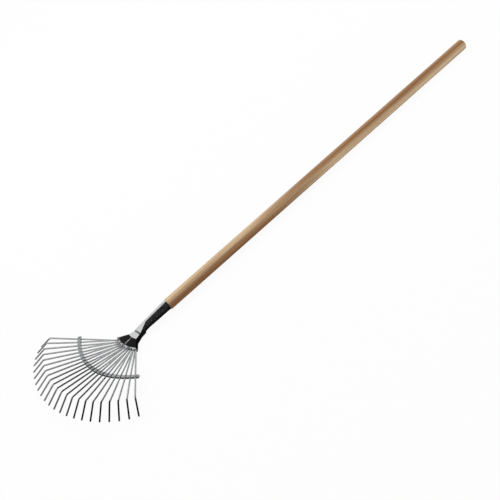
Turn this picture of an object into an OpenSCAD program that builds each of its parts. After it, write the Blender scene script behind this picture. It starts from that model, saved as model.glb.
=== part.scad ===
/* [Handle] */
// Diameter of the wooden handle
handle_d = 28; // [26:0.5:32]
// Bare length of the handle, from the ferrule's mouth to the free end
handle_len = 1057; // [700:1:1400]
// Rounding of the free end
handle_round = 4; // [1:0.5:6]
// Length of the taper that leads the wood down to the ferrule
shoulder_len = 4; // [2:0.5:8]

/* [Ferrule] */
// Outer diameter of the ferrule's mouth
mouth_d = 24.8; // [23:0.1:25.6]
// Distance from the handle's axis down to the straight underside of the ferrule
ferrule_drop = 11.8; // [11.4:0.1:12.2]
// Where the flat tongue starts, measured from the mouth
tongue_start = 65; // [60:1:68]
// Where the round underside stops and only the tongue goes on
tube_len = 71; // [69:1:76]
// Half width of the tongue's end
tongue_half_w = 11.6; // [10.8:0.1:12.4]
// Thickness of the steel sheet of the ferrule and the head
sheet_t = 1.2; // [0.8:0.1:1.4]

/* [Screw] */
// Distance of the handle screw from the mouth
screw_y = 24; // [18:1:34]
// Shank diameter of the handle screw
screw_d = 3.5; // [3:0.1:4]
// Length of the handle screw under its head
screw_len = 16; // [10:1:18]

/* [Head] */
// Angle by which the fan of tines is raised from the line of the handle
fan_tilt = 10.6; // [9:0.1:12]
// Distance from the ferrule's mouth to the point where the tines would meet
apex_y = 112.7; // [110:0.1:116]
// Depth of that point under the handle's axis
apex_drop = 15.8; // [14:0.1:18]
// Half width of the head's front corners
head_half_w = 41; // [40:0.5:44]
// Distance from the apex to the middle of the head's front edge
head_front = 29; // [28:0.5:31]
// Distance from the apex to the head's front corners
head_corner = 18.5; // [18:0.5:20]
// Height of the crease between the neck and the hood
crease_z = 15; // [14:0.5:16]
// Height of the hood above the tines at its front edge
hood_front_z = 7.4; // [7.4:0.1:8]
// Radius of the hood's sideways crown
crown_r = 300; // [260:10:600]
// Radius of the rolled front edge
hem_r = 2.3; // [1.8:0.1:2.6]
// How far the bottom sheet and the lower side walls stand back from the front edge
sole_inset = 6; // [3:0.5:7]
// Width of the notch between the two groups of tines, at the front edge
notch_w = 5; // [3:0.2:5.6]

/* [Tines] */
// Number of tines
tine_count = 22; // [22:22]
// Wire diameter
tine_d = 3.8; // [3.2:0.1:3.8]
// Direction of the outermost tine, measured from straight ahead
fan_half_angle = 57.5; // [54:0.5:60]
// How much closer the outer tines stand than the middle ones, as an angle
fan_crowding = 2.5; // [0:0.5:4]
// Sideways spread of the lines of the tines at the apex
apex_spread = 7.5; // [6:0.5:9]
// Distance from the apex to the bends of the middle tines
bend_front = 202; // [190:1:214]
// How far back the bends of the outermost tines stand
bend_drop = 85; // [75:1:95]
// How far the outermost tines rise at their bends
fan_cup = 9.5; // [0:0.5:12]
// Length of the bent tip
tip_len = 42.5; // [36:0.5:50]
// Angle of the bend
tip_angle = 40; // [30:1:50]
// Centre line radius of the bend
bend_r = 7; // [5:0.5:10]
// Distance from the apex to the tines' inner ends
tine_start = 20.5; // [20:0.5:22]

/* [Band] */
// Distance from the apex to the middle of the band's front edge
band_front = 118; // [108:1:128]
// Radius of the band's front edge
band_r = 217; // [205:1:230]
// Width of the band
band_w = 8.5; // [7:0.5:10]
// Sheet thickness of the band
band_t = 1; // [0.8:0.1:1.2]
// Height of the upper strip's underside above the middle of the tines
band_rise = 0.3; // [0:0.1:0.6]
// How far the band's ends reach past the outermost tines
band_over = 8.5; // [8:0.5:10]
// Diameter of the band's rivets
rivet_d = 2.4; // [2:0.1:2.6]

/* [Hidden] */
$fn = 48;

// Clearances
fit = 0.2;
wire_gap = 0.05;
spigot_gap = 0.3;

// Tines, in the fan's frame
tine_r = tine_d / 2;
layer = tine_d + fit;
group_gap = 5;
tip_end_r = 1.3;
tip_chamfer = 0.8;
// The wire is this much thicker at its kink and bend, where its straight parts lap into them
swell = 0.04;
lap = 0.15;

// Shape of the ferrule, in the handle's frame: the axis lies along Y, the mouth is at Y = 0
mouth_r = mouth_d / 2;
mouth_z = mouth_r - ferrule_drop;
// Top edge of the tongue's end, in the fan's frame
tongue_y = -18;
tongue_z = 19.5;
// The same point in the handle's frame
tongue_end = fan_to_handle([0, tongue_y, tongue_z]);
tongue_slope = 17.2;
tongue_top = tongue_end.z + (tongue_end.y - tongue_start) * tan(tongue_slope);
root_r = (tongue_top + ferrule_drop) / 2;
root_z = tongue_top - root_r;
tongue_wall = 4.5;
spigot_len = tongue_start - 3;

// Screw
screw_head_r = 3.6;
screw_head_h = 1.5;

// Head sheets, in the fan's frame
neck_back = -32;
crease_y = -1.5;
crease_half_w = 15.8;
tail_y = -44;
tail_half_w = 6.4;
flat_start = 8;
steep = fan_tilt + tongue_slope;
under_tongue = sheet_t / cos(steep) + fit;
neck_z = tongue_z - under_tongue;
neck_back_z = neck_z + (tongue_y - neck_back) * tan(steep);
neck_half_w = tongue_half_w - sheet_t - fit;
front_rise = head_front - head_corner;
front_r = (pow(head_half_w, 2) + pow(front_rise, 2)) / (2 * front_rise);
hood_slope = atan((crease_z - hood_front_z) / (head_front - crease_y));
floor_z = -tine_r - fit;
// Height of the bottom sheet where it enters the ferrule
tail_z = handle_to_fan([0, tube_len - 6, -ferrule_drop + 2.6]).z;
tail_rise = (tail_z - floor_z) / (flat_start - tail_y);
notch_back = 14;
notch_back_w = 1;
// How far the top sheet's side walls reach below the bottom sheet
skirt = 0.15;
// How far the shapes that cut the head reach past it
over = head_half_w / 2;
weld_r = 2;
weld_drops = 8;
weld_inset = 0.6;
hem_inset = 0.9;
hem_z = hood_front_z + hem_r - sheet_t - 0.4;

// Band, in the fan's frame
band_centre_y = band_front - band_r;
band_mid_r = band_r - band_w / 2;
hump_r = tine_r + band_t;
band_low = -tine_r - wire_gap - band_t;
rivet_head_h = 0.8;
strip_lap = 0.4;

// Rest: the side walls of the head and the end of the handle touch the floor
handle_r = handle_d / 2;
sole = fan_to_handle([0, flat_start, floor_z - sheet_t - skirt]);
heel_y = -handle_len + handle_round;
rest_tilt = atan((-handle_r - sole.z) / (sole.y - heel_y));
rest_z = handle_r * cos(rest_tilt) - heel_y * sin(rest_tilt);
// Furthest points along the object, for the origin in the middle of its length
front_tip = fan_to_handle(tip_point(tine_count / 2));
front_y = front_tip.y * cos(rest_tilt) - front_tip.z * sin(rest_tilt)
    + tip_end_r * sin(tip_angle - fan_tilt);
back_y = -handle_len * cos(rest_tilt);
centre_y = (front_y + back_y) / 2;

// Names and places of the tines: number 1 stands furthest to +X
function tine_name(i) = str("tine_", i < 10 ? "0" : "", i);
function side(i) = ((tine_count + 1) / 2 - i) / ((tine_count - 1) / 2);
function heading(i) = (fan_half_angle + fan_crowding) * side(i) - fan_crowding * pow(side(i), 5);
function bend_y(i) = bend_front - bend_drop * pow(side(i), 2);
function bend_x(i) = apex_spread * side(i) + bend_y(i) * tan(heading(i));
function bend_z(i) = fan_cup * pow(bend_x(i) / bend_x(1), 2);
function origin_of(i) = [apex_spread * side(i), 0, 0];
function bend_point(i) = [bend_x(i), bend_y(i), bend_z(i)];
function unit(v) = v / norm(v);
function along(i) = unit(bend_point(i) - origin_of(i));
function pitch(i) = asin(along(i).z);
function reach(i) = norm(bend_point(i) - origin_of(i));
function tip_point(i) = bend_point(i) + tip_len * [
    cos(tip_angle - pitch(i)) * sin(heading(i)),
    cos(tip_angle - pitch(i)) * cos(heading(i)),
    -sin(tip_angle - pitch(i))];
// Distance along a tine at which it crosses a circle of radius r about the band's centre
function cross_b(i) = origin_of(i).x * along(i).x - band_centre_y * along(i).y;
function cross_c(i, r) = pow(origin_of(i).x, 2) + pow(band_centre_y, 2) - r * r;
function flat2(i) = pow(along(i).x, 2) + pow(along(i).y, 2);
function crossing(i, r) = (-cross_b(i) + sqrt(pow(cross_b(i), 2) - flat2(i) * cross_c(i, r))) / flat2(i);
function band_point(i) = origin_of(i) + along(i) * crossing(i, band_mid_r);
function inner_point(i) = origin_of(i) + tine_start * [sin(heading(i)), cos(heading(i)), 0]
    + [sign(side(i)) * group_gap / 2, 0, i % 2 == 0 ? layer : 0];
// Ends of the band, past the outermost tines
function band_step(s) = unit(band_point(s < 0 ? tine_count : 1) - band_point(s < 0 ? tine_count - 1 : 2));
function band_end(s) = band_point(s < 0 ? tine_count : 1) + band_step(s) * band_over;
function band_path() = concat([band_end(1)], [for (i = [2 : tine_count - 1]) band_point(i)],
    [band_end(-1)]);

// Changes of frame
function turn(p, a) = [p.x, p.y * cos(a) - p.z * sin(a), p.y * sin(a) + p.z * cos(a)];
function fan_to_handle(p) = [0, apex_y, -apex_drop] + turn(p, fan_tilt);
function handle_to_fan(p) = turn(p - [0, apex_y, -apex_drop], -fan_tilt);

// Lays the handle's frame down on the floor
module at_rest() {
    translate([0, -centre_y, rest_z]) rotate([rest_tilt, 0, 0]) children();
}

// Places the fan's frame in the handle's frame
module in_fan() {
    at_rest() translate([0, apex_y, -apex_drop]) rotate([fan_tilt, 0, 0]) children();
}

// Turn that takes the Z axis to direction v
function aim(v) = [0, acos(v.z / norm(v)), atan2(v.y, v.x)];

// Round bar from one point to another
module bar(from, to, r) {
    translate(from) rotate(aim(to - from)) cylinder(h = norm(to - from), r = r);
}

// Thin disc across the handle's axis
module disc(y, z, r) {
    translate([0, y, z]) rotate([-90, 0, 0]) cylinder(h = 0.01, r = r);
}

// Outline in the YZ plane, made w wide across X
module profile(w, points) {
    rotate([90, 0, 90]) translate([0, 0, -w / 2]) linear_extrude(w) polygon(points);
}

// Inside and outside of the ferrule, g thinner all round than its outer surface
module ferrule_form(g, y0, y1) {
    hull() {
        disc(y0, mouth_z, mouth_r - g);
        disc(tongue_start, root_z, root_r - g);
    }
    hull() {
        disc(tongue_start, root_z, root_r - g);
        translate([0, y1, tongue_end.z - (y1 - tongue_end.y) * tan(tongue_slope) - g / cos(tongue_slope)])
            mirror([0, 0, 1]) translate([-tongue_half_w + g, -0.01, 0])
                cube([2 * (tongue_half_w - g), 0.01, 2 * tongue_wall]);
    }
}

// Wooden handle, with a tapered end inside the ferrule
module handle() {
    color("burlywood") at_rest() difference() {
        union() {
            rotate([90, 0, 0]) rotate_extrude() polygon(concat(
                [[0, 0.2], [mouth_r, 0.2], [handle_r, shoulder_len]],
                [for (a = [0 : 15 : 90]) [handle_r - handle_round * (1 - cos(a)),
                    handle_len - handle_round * (1 - sin(a))]],
                [[0, handle_len]]));
            hull() {
                disc(-0.5, mouth_z, mouth_r - sheet_t - spigot_gap);
                disc(spigot_len, root_z, root_r - sheet_t - spigot_gap);
            }
        }
        screw_hole(screw_d / 2);
    }
}

// Straight hole up through the underside of the ferrule
module screw_hole(r) {
    translate([0, screw_y, -mouth_r - 4]) cylinder(h = screw_len + 4.6, r = r);
}

// Sheet steel socket, open below where its tongue begins
module ferrule() {
    color("silver") at_rest() difference() {
        ferrule_form(0, 0, tongue_end.y);
        ferrule_form(sheet_t, -0.01, tongue_end.y + 0.5);
        profile(60, [[tube_len, -30], [tube_len, -8], [tongue_end.y - 6, tongue_end.z - tongue_wall],
            [tongue_end.y + 1, tongue_end.z - tongue_wall], [tongue_end.y + 1, -30]]);
        screw_hole(screw_d / 2 + fit);
    }
}

// Round headed screw that holds the wood in the ferrule
module handle_screw() {
    head_z = -ferrule_drop - fit;
    color("gray") at_rest() translate([0, screw_y, head_z]) difference() {
        union() {
            cylinder(h = screw_len, r = screw_d / 2 - 0.1);
            intersection() {
                translate([0, 0, screw_head_r - screw_head_h]) sphere(r = screw_head_r + 0.2);
                translate([0, 0, -screw_head_h]) cylinder(h = screw_head_h, r = screw_head_r);
            }
        }
        translate([-0.4, -screw_head_r, -screw_head_h - 0.1]) cube([0.8, 2 * screw_head_r, 1]);
    }
}

// Outward direction of an edge of the head's right side, and a corner moved g inwards
function outward(a, b) = [b.y - a.y, a.x - b.x] / norm(b - a);
function inset(a, b, c, g) = b - g * (outward(a, b) + outward(b, c)) / (1 + outward(a, b) * outward(b, c));

// Plan of the head's sheets: neck, flare and curved front edge, g narrower all round
module head_plan(back, back_w, g) {
    p = [[back_w, back], [neck_half_w, tongue_y], [crease_half_w, crease_y],
        [head_half_w, head_corner], [head_half_w, head_front + 5]];
    right = concat([p[0] - [g, 0]], [for (k = [1 : 3]) inset(p[k - 1], p[k], p[k + 1], g)],
        [p[4] - [g, 0]]);
    intersection() {
        polygon(concat(right, [for (k = [4 : -1 : 0]) [-right[k].x, right[k].y]]));
        union() {
            translate([0, head_front - front_r]) circle(r = front_r, $fn = 180);
            translate([-head_half_w, back - 1]) square([2 * head_half_w, head_corner - back]);
        }
    }
}

// Side view of the space under the neck and hood, g below their outer faces
module head_side(g) {
    profile(2 * head_half_w + over, [[neck_back - 1, neck_back_z + tan(steep) - g / cos(steep)],
        [tongue_y, neck_z - g], [crease_y, crease_z - g],
        [head_front + over, crease_z - (head_front + over - crease_y) * tan(hood_slope) - g],
        [head_front + over, floor_z - over - g], [neck_back - 1, floor_z - over - g]]);
}

// Big round bar that crowns the hood from side to side
module crown(g) {
    translate([0, crease_y, crease_z + 0.2 - g]) rotate([-90 - hood_slope, 0, 0])
        translate([0, crown_r, -4 * over]) cylinder(h = 10 * over, r = crown_r, $fn = 360);
}

// Solid form of the neck and hood, g inside their outer faces
module head_form(g) {
    intersection() {
        translate([0, 0, -2 * over]) linear_extrude(4 * over) head_plan(neck_back, neck_half_w, g);
        head_side(g);
        crown(g);
    }
}

// Slot between the two groups of tines
module notch() {
    translate([0, 0, -over]) linear_extrude(3 * over) polygon([
        [-notch_back_w / 2, notch_back], [notch_back_w / 2, notch_back],
        [notch_w / 2, head_front + 5], [-notch_w / 2, head_front + 5]]);
}

// Space under the rolled front edge, where the wires come out
module wire_mouth() {
    translate([0, 0, hem_z - hem_r - 0.4 - over]) linear_extrude(over) difference() {
        translate([-head_half_w - 5, 0]) square([2 * head_half_w + 10, head_front + 5]);
        translate([0, head_front - front_r]) circle(r = front_r - sole_inset, $fn = 180);
    }
}

// Rolled front edge
module hem() {
    half = asin((head_half_w - hem_inset) / front_r);
    translate([0, head_front - front_r, hem_z]) rotate([0, 0, 90 - half])
        rotate_extrude(angle = 2 * half) translate([front_r - hem_r, 0]) circle(r = hem_r);
}

// Pressed neck and hood, open towards the tines
module head_top() {
    color("silver") in_fan() difference() {
        union() {
            difference() {
                head_form(0);
                head_form(sheet_t);
                translate([0, 0, -sheet_t - skirt]) tail_solid();
            }
            hem();
        }
        for (i = [1, tine_count]) bar(inner_point(i), band_point(i), tine_r + fit);
        wire_mouth();
        notch();
    }
}

// Everything that lies below the top face of the bottom sheet
module tail_solid() {
    profile(3 * head_half_w, [[tail_y - over, tail_z + over * tail_rise],
        [flat_start, floor_z], [head_front + 2 * over, floor_z],
        [head_front + 2 * over, floor_z - 4 * over], [tail_y - over, floor_z - 4 * over]]);
}

// Bottom sheet, from inside the ferrule to the front edge
module head_bottom() {
    color("silver") in_fan() difference() {
        intersection() {
            translate([0, 0, -over]) linear_extrude(3 * over)
                head_plan(tail_y, tail_half_w, sheet_t + fit);
            tail_solid();
        }
        translate([0, 0, -sheet_t]) tail_solid();
        wire_mouth();
        notch();
    }
}

// Bead of overlapping drops that joins the tongue to the neck, lying on the neck's sheet
module neck_weld() {
    len = 2 * (neck_half_w - weld_inset);
    drop = len / weld_drops;
    slope = atan((neck_z - crease_z) / (crease_y - tongue_y));
    color("gray") in_fan() translate([0, tongue_y, neck_z]) rotate([-slope, 0, 0])
        translate([0, weld_r + fit, wire_gap]) difference() {
            rotate([0, 90, 0]) rotate_extrude() polygon(concat([[0, -len / 2]],
                [for (k = [0 : weld_drops - 1], p = [[0.8, 0], [1, 0.3], [1, 0.7]])
                    [weld_r * p[0], -len / 2 + (k + p[1]) * drop]],
                [[weld_r * 0.8, len / 2], [0, len / 2]]));
            translate([-len, -2 * weld_r, -2 * weld_r]) cube([2 * len, 4 * weld_r, 2 * weld_r]);
        }
}

// One spring wire: inner part, kink at the band, straight part, bend and tip
module tine(i) {
    tangent = bend_r * tan(tip_angle / 2);
    kink = band_point(i);
    inward = unit(inner_point(i) - kink);
    color("silver") in_fan() {
        bar(inner_point(i), kink + inward * lap, tine_r);
        translate(kink) rotate(aim(along(i))) rotate([0, 0, 90]) sphere(r = tine_r + swell);
        bar(kink + along(i) * lap, bend_point(i) - along(i) * (tangent - lap), tine_r);
        translate(bend_point(i)) rotate([pitch(i), 0, -heading(i)]) {
            translate([0, -tangent, -bend_r]) rotate([90, 0, 90]) rotate([0, 0, 90 - tip_angle])
                rotate_extrude(angle = tip_angle) translate([bend_r, 0]) circle(r = tine_r + swell);
            rotate([-90 - tip_angle, 0, 0]) rotate_extrude() polygon([[0, tangent - lap],
                [tine_r, tangent - lap], [tine_r, tip_len - tip_chamfer], [tip_end_r, tip_len],
                [0, tip_len]]);
        }
    }
}

// Strip of the band between two points of its path: w wide, from height z0 to z0 + t
module strip(from, to, w, z0, t) {
    v = to - from;
    translate(from) rotate([0, -asin(v.z / norm(v)), atan2(v.y, v.x)])
        translate([-strip_lap, -w / 2, z0]) cube([norm(v) + 2 * strip_lap, w, t]);
}

// One layer of the band, all the way across
module strips(w, z0, t) {
    path = band_path();
    for (k = [0 : len(path) - 2]) strip(path[k], path[k + 1], w, z0, t);
}

// Stretch of a tine's line that lies under the band
module under_band(i, r, extra) {
    half = along(i) * (band_w / 2 + extra);
    bar(band_point(i) - half, band_point(i) + half, r);
}

// Places of the band's rivets: both ends and the middle
function rivet_points() = [(band_end(1) + band_point(1)) / 2 + [0.7, -0.4, 0],
    (band_point(tine_count / 2) + band_point(tine_count / 2 + 1)) / 2,
    (band_end(-1) + band_point(tine_count)) / 2 + [-0.7, -0.4, 0]];

// Holes for the rivets, through both strips
module rivet_holes() {
    for (p = rivet_points()) translate(p + [0, 0, band_low - band_t])
        cylinder(h = band_rise - band_low + 3 * band_t, r = rivet_d / 2);
}

// Upper strip, with a hump over every tine
module band_top() {
    color("silver") in_fan() difference() {
        union() {
            strips(band_w, band_rise, band_t);
            for (i = [1 : tine_count]) under_band(i, hump_r, 0);
        }
        strips(band_w + 4 * hump_r, band_rise - 2 * hump_r, 2 * hump_r);
        for (i = [1 : tine_count]) under_band(i, tine_r + wire_gap, band_w / 3);
        rivet_holes();
    }
}

// Lower strip, flat under the tines
module band_bottom() {
    color("silver") in_fan() difference() {
        strips(band_w, band_low, band_t);
        rivet_holes();
    }
}

// Rivets that hold the two strips together
module band_rivets() {
    head_r = rivet_d * 0.8;
    low = band_low - rivet_head_h - wire_gap;
    high = band_rise + band_t + rivet_head_h + wire_gap;
    shank_r = rivet_d / 2 - wire_gap;
    color("gray") in_fan() for (p = rivet_points()) translate(p) rotate_extrude() polygon([
        [0, low], [head_r * 0.7, low], [head_r, low + rivet_head_h],
        [shank_r, low + rivet_head_h], [shank_r, high - rivet_head_h],
        [head_r, high - rivet_head_h], [head_r * 0.7, high], [0, high]]);
}

handle();
ferrule();
handle_screw();
head_top();
head_bottom();
neck_weld();
for (i = [1 : tine_count]) tine(i);
band_top();
band_bottom();
band_rivets();
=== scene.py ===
from math import cos, radians, sin

import bmesh
import bpy
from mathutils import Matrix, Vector

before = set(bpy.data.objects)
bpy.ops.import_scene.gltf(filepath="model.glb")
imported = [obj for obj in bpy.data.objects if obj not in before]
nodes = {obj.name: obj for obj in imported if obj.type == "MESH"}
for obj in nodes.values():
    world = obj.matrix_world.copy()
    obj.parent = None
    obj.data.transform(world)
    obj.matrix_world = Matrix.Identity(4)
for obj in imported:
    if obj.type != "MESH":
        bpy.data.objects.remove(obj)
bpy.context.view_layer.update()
scene = bpy.context.scene


# Colours and shader nodes

def linear(code):
    """A colour written as six sRGB hex digits, as linear RGBA."""
    parts = [int(code[i:i + 2], 16) / 255 for i in (0, 2, 4)]
    return tuple(c / 12.92 if c <= 0.04045 else ((c + 0.055) / 1.055) ** 2.4 for c in parts) + (1.0,)


def feed(node, inputs):
    """Sets a node's inputs, listed in their order or named in a dictionary, from values, outputs or
    nodes. A node gives its first output in use."""
    for key, value in inputs.items() if isinstance(inputs, dict) else enumerate(inputs):
        if isinstance(value, bpy.types.Node):
            value = next(output for output in value.outputs if output.enabled)
        if isinstance(value, bpy.types.NodeSocket):
            node.id_data.links.new(value, node.inputs[key])
        else:
            node.inputs[key].default_value = value


def add(tree, kind, inputs=(), stops=(), **settings):
    """Adds a node. stops are the places and colours of a ramp."""
    node = tree.nodes.new("ShaderNode" + kind)
    for name, value in settings.items():
        setattr(node, name, value)
    if stops:
        for element, (at, code) in zip(node.color_ramp.elements, stops):
            element.position = at
            element.color = linear(code)
    feed(node, inputs)
    return node


def new_material(name):
    """A material with its tree, its shader and the place on the object in metres."""
    material = bpy.data.materials.new(name)
    material.use_nodes = True
    tree = material.node_tree
    return material, tree, tree.nodes["Principled BSDF"], add(tree, "TexCoord").outputs["Object"]


def patches(tree, place, per_metre, detail=4.0, roughness=0.5):
    """Noise with so many patches to the metre along each axis."""
    mapped = add(tree, "Mapping", {"Vector": place, "Scale": per_metre})
    return add(tree, "TexNoise", {"Vector": mapped, "Scale": 1.0, "Detail": detail,
                                  "Roughness": roughness})


# Places on the rake that patterns follow

# The wires fan out from this point, in a plane tilted by this angle
APEX = (0.0, 0.4669, 0.0019)
FAN_TILT = radians(10.78)
# The stick's axis lies this high at its middle
STICK_Z = 0.0157
# The side of the stick with the pale tone, partly sapwood and partly a painted highlight
SAPWOOD_AND_HIGHLIGHT_SIDE = (0.588, 0.0, 0.808)
# In the plane of the fan, the hood's crease bows by this share of X squared
CREASE_BOW = 8.0
# There the rolled edge's back follows a circle with its centre on the Y axis
HEM_CENTRE_Y = -0.0563
HEM_BACK_R = 0.0802
# The wires bend where Y is the first less the second times X squared
BEND_ROW_Y = 0.667
BEND_ROW_BOW = 2.33


def fan_place(tree, place):
    """Place in the plane of the fan, with its apex at the origin."""
    shift = (0.0, -(APEX[1] * cos(FAN_TILT) + APEX[2] * sin(FAN_TILT)),
             APEX[1] * sin(FAN_TILT) - APEX[2] * cos(FAN_TILT))
    mapped = add(tree, "Mapping", {"Vector": place, "Rotation": (-FAN_TILT, 0, 0), "Location": shift})
    parts = add(tree, "SeparateXYZ", [mapped])
    return parts.outputs["X"], parts.outputs["Y"]


# Materials

def ash_stick():
    """Turned ash under clear lacquer. Ash shows straight grain lines 2 to 5 mm apart, pores as fine
    dashes, and pale sapwood beside browner heartwood; the pale tone is partly sapwood and partly a
    painted highlight. The lacquer gives it a soft sheen."""
    material, tree, shader, place = new_material("ash_under_clear_lacquer")
    slow = patches(tree, place, (60.0, 1.6, 60.0), 3.0)
    grain = patches(tree, place, (330.0, 4.0, 330.0), 6.0, 0.6)
    # Pores are drawn 0.5 mm wide and 20 mm long, coarser than real ones, so that they show
    pores = patches(tree, place, (2000.0, 50.0, 2000.0), 2.0)
    # The pale tone, partly sapwood and partly a painted highlight, lies on top near the head and winds
    # round to the side towards the free end
    across = add(tree, "VectorMath", [place, SAPWOOD_AND_HIGHLIGHT_SIDE], operation="DOT_PRODUCT")
    height = add(tree, "Math", [across, SAPWOOD_AND_HIGHLIGHT_SIDE[2] * STICK_Z], operation="SUBTRACT")
    along = add(tree, "SeparateXYZ", [place]).outputs["Y"]
    turn = add(tree, "MapRange", [along, -0.20, 0.12, -1.0, 1.0])
    twisted = add(tree, "Math", [height, turn], operation="MULTIPLY")
    wavy = add(tree, "Math", [slow, 0.008, twisted], operation="MULTIPLY_ADD")
    sapwood_and_highlight = add(tree, "MapRange", [wavy, 0.000, 0.014])
    heart = add(tree, "ValToRGB", [slow], [(0.3, "9A6B40"), (0.7, "AE8050")])
    # The pale tone is partly sapwood and partly a painted highlight
    pale = add(tree, "ValToRGB", [slow], [(0.3, "D9B88C"), (0.7, "EBD3AE")])
    lines = add(tree, "ValToRGB", [grain], [(0.36, "A9805A"), (0.56, "FFFFFF")])
    wood = add(tree, "Mix", {0: sapwood_and_highlight, 6: heart, 7: pale}, data_type="RGBA")
    feed(shader, {
        "Base Color": add(tree, "Mix", {0: 0.5, 6: wood, 7: lines}, data_type="RGBA",
                          blend_type="MULTIPLY"),
        "Roughness": add(tree, "MapRange", [pores, 0.3, 0.7, 0.5, 0.38]),
        "Coat Weight": 0.3,
        "Coat Roughness": 0.25,
        "Normal": add(tree, "Bump", {"Height": pores, "Distance": 0.00006, "Strength": 0.5})})
    return material


def plated_sheet(name="plated_sheet_steel"):
    """Pressed sheet steel with bright plating: a clear, slightly soft mirror with faint rolling
    streaks about 1 mm wide along the sheet."""
    material, tree, shader, place = new_material(name)
    streaks = patches(tree, place, (900.0, 60.0, 900.0))
    feed(shader, {
        "Base Color": add(tree, "ValToRGB", [streaks], [(0.3, "C2C3C5"), (0.7, "D6D7D8")]),
        "Roughness": add(tree, "MapRange", [streaks, 0.3, 0.7, 0.16, 0.26]),
        "Metallic": 1.0,
        "Normal": add(tree, "Bump", {"Height": streaks, "Distance": 0.00001, "Strength": 0.3})})
    return material


def hood_in_black():
    """Plated sheet whose hood is black, from the crease to the rolled edge. The black is deep satin
    with a fine mottle of about 1.5 mm and covers only patches on the rolled edge; a plated stripe
    down the middle is a painted reflection."""
    material = plated_sheet("plated_steel_with_black_hood")
    tree = material.node_tree
    place = tree.nodes["Texture Coordinate"].outputs["Object"]
    x, y = fan_place(tree, place)
    # The black's back line bows with the crease; its front line follows the rolled edge
    square = add(tree, "Math", [x, x], operation="MULTIPLY")
    back_line = add(tree, "Math", [square, CREASE_BOW, y], operation="MULTIPLY_ADD")
    hood = add(tree, "MapRange", [back_line, 0.0005, 0.0010])
    flat = add(tree, "CombineXYZ", {"X": x, "Y": y})
    out_from = add(tree, "VectorMath", [flat, (0, HEM_CENTRE_Y, 0)], operation="DISTANCE")
    behind_hem = add(tree, "MapRange", [out_from, HEM_BACK_R, HEM_BACK_R + 0.0004, 1.0, 0.0])
    # On the rolled edge the black covers only patches of about 8 mm
    hem_patches = patches(tree, place, (120.0, 120.0, 120.0), 2.0)
    left_on_hem = add(tree, "MapRange", [hem_patches, 0.46, 0.52, 0.75, 0.0])
    covered = add(tree, "Math", [behind_hem, left_on_hem], operation="MAXIMUM")
    # A plated stripe down the middle is a painted reflection; it widens to 5 mm at the front edge, and
    # the notch is cut along it
    half_reflection_stripe = add(tree, "MapRange", [y, 0.007, 0.029, 0.0004, 0.0026])
    off_middle = add(tree, "Math", [x], operation="ABSOLUTE")
    beside = add(tree, "Math", [off_middle, half_reflection_stripe], operation="GREATER_THAN")
    on_hood = add(tree, "Math", [hood, covered], operation="MULTIPLY")
    painted = add(tree, "Math", [on_hood, beside], operation="MULTIPLY")
    fine_mottle = patches(tree, place, (700.0, 700.0, 700.0), 2.0)
    black = add(tree, "BsdfPrincipled", {
        "Specular IOR Level": 0.06,
        "Base Color": add(tree, "ValToRGB", [fine_mottle], [(0.3, "0A0A0B"), (0.7, "121213")]),
        "Roughness": add(tree, "MapRange", [fine_mottle, 0.3, 0.7, 0.45, 0.55])})
    feed(tree.nodes["Material Output"],
         {"Surface": add(tree, "MixShader", [painted, tree.nodes["Principled BSDF"], black])})
    return material


def spring_wire():
    """Plated spring wire: grey drawn steel with mottling of about 4 mm, dulled to a pale matt grey
    inside the band, with painted shade that turns the bent tips near black, most of all on one side."""
    material, tree, shader, place = new_material("plated_spring_wire")
    mottle = patches(tree, place, (260.0, 260.0, 260.0), 3.0)
    from_apex = add(tree, "VectorMath", [place, APEX], operation="DISTANCE")
    dull = add(tree, "MapRange", [from_apex, 0.08, 0.125, 1.0, 0.0])
    clean = add(tree, "ValToRGB", [mottle], [(0.3, "B0B1B3"), (0.7, "C9CACB")])
    matt = add(tree, "ValToRGB", [mottle], [(0.3, "A9AAAB"), (0.7, "C3C4C5")])
    grey = add(tree, "Mix", {0: dull, 6: clean, 7: matt}, data_type="RGBA")
    x, y = add(tree, "SeparateXYZ", [place]).outputs[:2]
    # Painted shade: beyond the row of bends the wire turns near black, most of all towards -X
    square = add(tree, "Math", [x, x], operation="MULTIPLY")
    row = add(tree, "Math", [square, BEND_ROW_BOW, y], operation="MULTIPLY_ADD")
    beyond = add(tree, "MapRange", [row, BEND_ROW_Y, BEND_ROW_Y + 0.005])
    side = add(tree, "MapRange", [x, -0.10, 0.08, 1.0, 0.35])
    black = add(tree, "Math", [beyond, side], operation="MULTIPLY")
    bare = add(tree, "Math", [1.0, black], operation="SUBTRACT")
    # The matt part is 0.3 metallic, less than any real metal, which is what gives its pale grey
    shine = add(tree, "Math", [dull, -0.7, 1.0], operation="MULTIPLY_ADD")
    drawn = add(tree, "MapRange", [mottle, 0.3, 0.7, 0.28, 0.4])
    rough = add(tree, "Math", [dull, 0.2, drawn], operation="MULTIPLY_ADD")
    feed(shader, {
        "Base Color": add(tree, "Mix", {0: black, 6: grey, 7: linear("080809")}, data_type="RGBA"),
        "Metallic": add(tree, "Math", [bare, shine], operation="MULTIPLY"),
        "Roughness": add(tree, "Math", [black, 0.25, rough], operation="MULTIPLY_ADD"),
        "Specular IOR Level": 0.1,
        "Normal": add(tree, "Bump", {"Height": mottle, "Distance": 0.00003, "Strength": 0.3})})
    return material


def band_strip():
    """Rolled steel strip of the band: greyer plating than the head's, with scuffs along it of about
    5 mm and a soft shine."""
    material, tree, shader, place = new_material("plated_band_strip")
    scuffs = patches(tree, place, (200.0, 700.0, 700.0))
    feed(shader, {
        "Base Color": add(tree, "ValToRGB", [scuffs], [(0.3, "8A8B8D"), (0.7, "B2B3B5")]),
        "Roughness": add(tree, "MapRange", [scuffs, 0.3, 0.7, 0.2, 0.34]),
        "Metallic": 1.0,
        "Normal": add(tree, "Bump", {"Height": scuffs, "Distance": 0.00002, "Strength": 0.4})})
    return material


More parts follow.
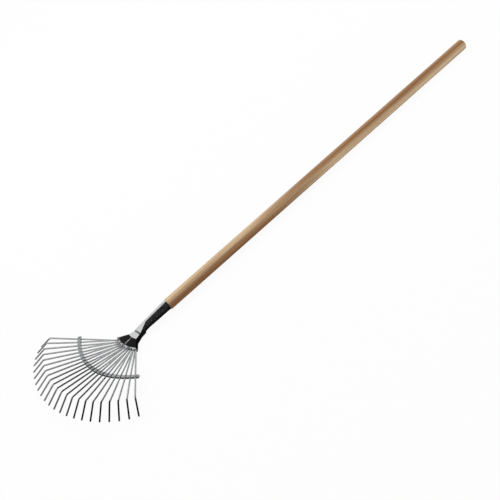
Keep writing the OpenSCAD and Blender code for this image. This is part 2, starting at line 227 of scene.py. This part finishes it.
def dull_steel():
    """Plain steel of the screw and the rivets: turned or hammered, grey, with a matt grain of
    about 1 mm."""
    material, tree, shader, place = new_material("plain_dull_steel")
    grain = patches(tree, place, (1000.0, 1000.0, 1000.0), 3.0)
    feed(shader, {
        "Base Color": add(tree, "ValToRGB", [grain], [(0.3, "8F9092"), (0.7, "ABACAD")]),
        "Roughness": add(tree, "MapRange", [grain, 0.3, 0.7, 0.34, 0.48]),
        "Metallic": 1.0,
        "Normal": add(tree, "Bump", {"Height": grain, "Distance": 0.00004, "Strength": 0.5})})
    return material


def rough_weld():
    """Weld metal as it set: dull grey with dark and bright specks of about 1 mm."""
    material, tree, shader, place = new_material("rough_weld_metal")
    specks = patches(tree, place, (900.0, 900.0, 900.0), 3.0)
    feed(shader, {
        "Base Color": add(tree, "ValToRGB", [specks], [(0.38, "4A4948"), (0.6, "B9B8B6")]),
        "Roughness": add(tree, "MapRange", [specks, 0.3, 0.7, 0.6, 0.4]),
        "Metallic": 1.0,
        "Normal": add(tree, "Bump", {"Height": specks, "Distance": 0.0003, "Strength": 0.7})})
    return material


def paint(names, material):
    """Gives CAD nodes a material."""
    for name in names:
        for slot in nodes[name].material_slots:
            slot.material = material


paint(["handle"], ash_stick())
paint(["ferrule", "head_bottom"], plated_sheet())
paint(["band_top", "band_bottom"], band_strip())
paint(["head_top"], hood_in_black())
paint(["neck_weld"], rough_weld())
paint(["handle_screw", "band_rivets"], dull_steel())
paint([name for name in nodes if name.startswith("tine_")], spring_wire())


# Floor, light and camera

def bare_tree(holder):
    """An empty node tree for a stage material or the world."""
    holder.use_nodes = True
    holder.node_tree.nodes.clear()
    return holder.node_tree


def flat_sheet(name, low, high, z, material):
    """A level sheet of the stage between two corners."""
    mesh = bpy.data.meshes.new(name)
    shape = bmesh.new()
    bmesh.ops.create_grid(shape, x_segments=1, y_segments=1, size=0.5)
    bmesh.ops.scale(shape, vec=(high[0] - low[0], high[1] - low[1], 1), verts=shape.verts)
    bmesh.ops.translate(shape, vec=((low[0] + high[0]) / 2, (low[1] + high[1]) / 2, z), verts=shape.verts)
    shape.to_mesh(mesh)
    shape.free()
    mesh.materials.append(material)
    thing = bpy.data.objects.new(name, mesh)
    scene.collection.objects.link(thing)
    return thing


def white_floor():
    """Paper floor: nearly white to the camera and in the metal, with the rake's faint shadow."""
    material = bpy.data.materials.new("white_paper_floor")
    tree = bare_tree(material)
    path = add(tree, "LightPath").outputs
    seen = add(tree, "Math", [path["Is Camera Ray"], path["Is Glossy Ray"]], operation="MAXIMUM")
    glowing = add(tree, "Math", [seen, 0.93], operation="MULTIPLY")
    matt = add(tree, "BsdfDiffuse", {"Color": linear("EDEDED")})
    glow = add(tree, "Emission", {"Color": (1, 1, 1, 1), "Strength": 1.0})
    add(tree, "OutputMaterial", {"Surface": add(tree, "MixShader", [glowing, matt, glow])})
    flat_sheet("floor", (-20, -20), (20, 20), 0, material)


def black_card():
    """Black card under the rake with a white patch under the inner wires. Only metal sees them."""
    black, _, shader, _ = new_material("black_card")
    feed(shader, {"Base Color": linear("060606")})
    card = flat_sheet("black_card", (-3, -1), (0.4, 1.6), 0.0005, black)
    white = bpy.data.materials.new("white_patch")
    tree = bare_tree(white)
    glow = add(tree, "Emission", {"Color": (1, 1, 1, 1), "Strength": 1.0})
    add(tree, "OutputMaterial", {"Surface": glow})
    patch = flat_sheet("white_patch", (-0.19, 0.5), (0.19, 0.56), 0.001, white)
    for thing in (card, patch):
        thing.visible_camera = False
        thing.visible_diffuse = False
        thing.visible_shadow = False


def studio():
    """Soft white light from all round. Metal sees it white, with a dark screen that leaves only the
    +X and the +Y side free."""
    sky = bpy.data.worlds.new("studio")
    scene.world = sky
    tree = bare_tree(sky)
    path = add(tree, "LightPath").outputs
    glossy = path["Is Glossy Ray"]
    seen = add(tree, "Math", [path["Is Camera Ray"], glossy], operation="MAXIMUM")
    seen = add(tree, "Math", [seen, path["Is Transmission Ray"]], operation="MAXIMUM")
    level = add(tree, "MapRange", [seen, 0.0, 1.0, 0.8, 1.0])
    way = add(tree, "SeparateXYZ", [add(tree, "TexCoord").outputs["Generated"]]).outputs
    off_x = add(tree, "MapRange", [way["X"], 0.35, 0.5, 1.0, 0.0])
    off_y = add(tree, "MapRange", [way["Y"], 0.10, 0.25, 0.99, 0.0])
    screen = add(tree, "Math", [off_x, off_y], operation="MULTIPLY")
    dark = add(tree, "Math", [glossy, screen], operation="MULTIPLY")
    strength = add(tree, "Math", [level, dark], operation="SUBTRACT")
    light = add(tree, "Background", {"Color": (1, 1, 1, 1), "Strength": strength})
    add(tree, "OutputWorld", {"Surface": light})


def soft_lamp(name, place, target, size, power):
    """A soft box turned to a point. The metal doesn't mirror it."""
    data = bpy.data.lights.new(name, "AREA")
    data.shape = "RECTANGLE"
    data.size, data.size_y = size
    data.energy = power
    thing = bpy.data.objects.new(name, data)
    scene.collection.objects.link(thing)
    thing.location = place
    thing.rotation_euler = (Vector(target) - Vector(place)).to_track_quat("-Z", "Y").to_euler()
    thing.visible_glossy = False


white_floor()
black_card()
studio()
soft_lamp("key_lamp", (1.6, -0.2, 2.2), (0, 0, 0), (2.5, 1.2), 25)

camera = bpy.data.cameras.new("photo_camera")
camera.lens = 81.38
camera.sensor_width = 36
view = bpy.data.objects.new("photo_camera", camera)
scene.collection.objects.link(view)
view.location = (-2.03511, 1.01211, 1.48315)
view.rotation_euler = tuple(radians(a) for a in (52.57264, 22.80876, -130.50315))
scene.camera = view
scene.view_settings.view_transform = "Standard"
